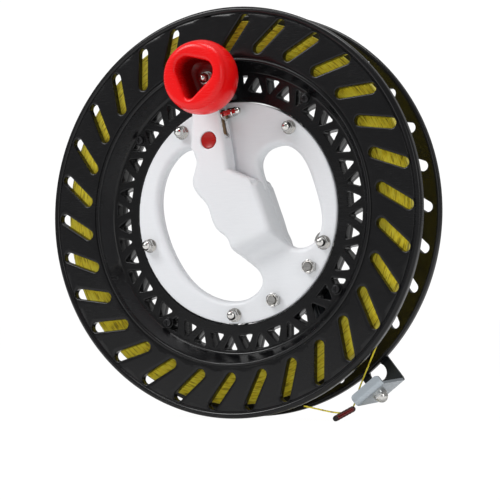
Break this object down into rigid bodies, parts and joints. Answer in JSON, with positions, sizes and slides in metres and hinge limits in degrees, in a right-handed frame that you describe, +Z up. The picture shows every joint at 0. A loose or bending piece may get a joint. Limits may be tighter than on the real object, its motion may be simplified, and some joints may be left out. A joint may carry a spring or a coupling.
{
  "type": "kite line winder",
  "caption": "Hand-held kite line winder: a slotted black reel turning on rollers round a white grip hub, with a red crank knob, a lock, a button and a line guide.",
  "frame": {"origin": "on the reel's axis midway between its flanges, inside the hand grip", "axes": "+Z up, the reel turns about Y, and its front with the crank faces -Y"},
  "size_m": [0.26, 0.081, 0.2606],
  "materials": {
    "black_plastic": "glossy moulded",
    "white_plastic": "satin moulded",
    "red_plastic": "glossy",
    "bright_steel": "nickel plated",
    "zinc_steel": "zinc plated",
    "brass_bar": "dull",
    "yellow_line": "wound line",
    "dark_cord": "waxed"
  },
  "bodies": {
    "hub": {"hub_front_shell": "white_plastic", "hub_rear_shell": "white_plastic", "hub_bolts": "bright_steel", "hub_washers": "bright_steel", "hub_acorn_nuts": "bright_steel", "roller_sleeves": "bright_steel", "roller_inner_rings": "bright_steel", "roller_balls": "bright_steel", "guide_bracket": "zinc_steel", "guide_bolts": "bright_steel", "guide_hex_nuts": "bright_steel", "crosspiece_bolt": "bright_steel", "crosspiece_washer": "bright_steel", "crosspiece_acorn_nut": "bright_steel", "line_run": "yellow_line", "leader_loop": "dark_cord"},
    "reel": {"reel_front_half": "black_plastic", "reel_rear_half": "black_plastic", "reel_screws": "bright_steel", "winding_core": "yellow_line", "winding_layer": "yellow_line", "crank_post": "bright_steel", "crank_bush": "zinc_steel", "crank_washer": "bright_steel", "crank_acorn_nut": "bright_steel"},
    "knob": {"crank_knob": "red_plastic"},
    "lock": {"lock_bar": "brass_bar", "lock_stud": "bright_steel", "lock_washer": "bright_steel", "lock_stop_washer": "bright_steel", "lock_hex_nut": "bright_steel", "lock_acorn_nut": "bright_steel"},
    "button": {"release_button": "red_plastic", "button_clip": "bright_steel", "button_spring": "bright_steel"},
    "roller_body_1": {"roller_1": "bright_steel"},
    "roller_body_2": {"roller_2": "bright_steel"},
    "roller_body_3": {"roller_3": "bright_steel"},
    "roller_body_4": {"roller_4": "bright_steel"},
    "roller_body_5": {"roller_5": "bright_steel"}
  },
  "joints": [
    {"name": "reel_spin", "type": "hinge", "parent": "hub", "child": "reel", "pos_m": [0, 0, 0], "axis": [0, 1, 0], "continuous": true},
    {"name": "knob_spin", "type": "hinge", "parent": "reel", "child": "knob", "pos_m": [-0.005, -0.045, 0.0823], "axis": [0, 1, 0], "continuous": true},
    {"name": "lock_slide", "type": "slide", "parent": "hub", "child": "lock", "axis": [-0.1959, 0, 0.9806], "range_m": [-0.0085, 0.005]},
    {"name": "button_press", "type": "slide", "parent": "hub", "child": "button", "axis": [0, 1, 0], "range_m": [0, 0.0022], "stiffness_N_per_m": 400, "springref_m": -0.0005, "deforming": ["button_spring"]},
    {"name": "roller_1_spin", "type": "hinge", "parent": "hub", "child": "roller_body_1", "pos_m": [-0.06182, -0.0038, -0.02009], "axis": [0, 1, 0], "continuous": true},
    {"name": "roller_2_spin", "type": "hinge", "parent": "hub", "child": "roller_body_2", "pos_m": [0, -0.0038, -0.065], "axis": [0, 1, 0], "continuous": true},
    {"name": "roller_3_spin", "type": "hinge", "parent": "hub", "child": "roller_body_3", "pos_m": [0.06182, -0.0038, -0.02009], "axis": [0, 1, 0], "continuous": true},
    {"name": "roller_4_spin", "type": "hinge", "parent": "hub", "child": "roller_body_4", "pos_m": [0.03821, -0.0038, 0.05259], "axis": [0, 1, 0], "continuous": true},
    {"name": "roller_5_spin", "type": "hinge", "parent": "hub", "child": "roller_body_5", "pos_m": [-0.03821, -0.0038, 0.05259], "axis": [0, 1, 0], "continuous": true}
  ],
  "couplings": [
    {"joint": "roller_1_spin", "follows": "reel_spin", "ratio": 9.1312},
    {"joint": "roller_2_spin", "follows": "reel_spin", "ratio": 9.1312},
    {"joint": "roller_3_spin", "follows": "reel_spin", "ratio": 9.1312},
    {"joint": "roller_4_spin", "follows": "reel_spin", "ratio": 9.1312},
    {"joint": "roller_5_spin", "follows": "reel_spin", "ratio": 9.1312}
  ]
}
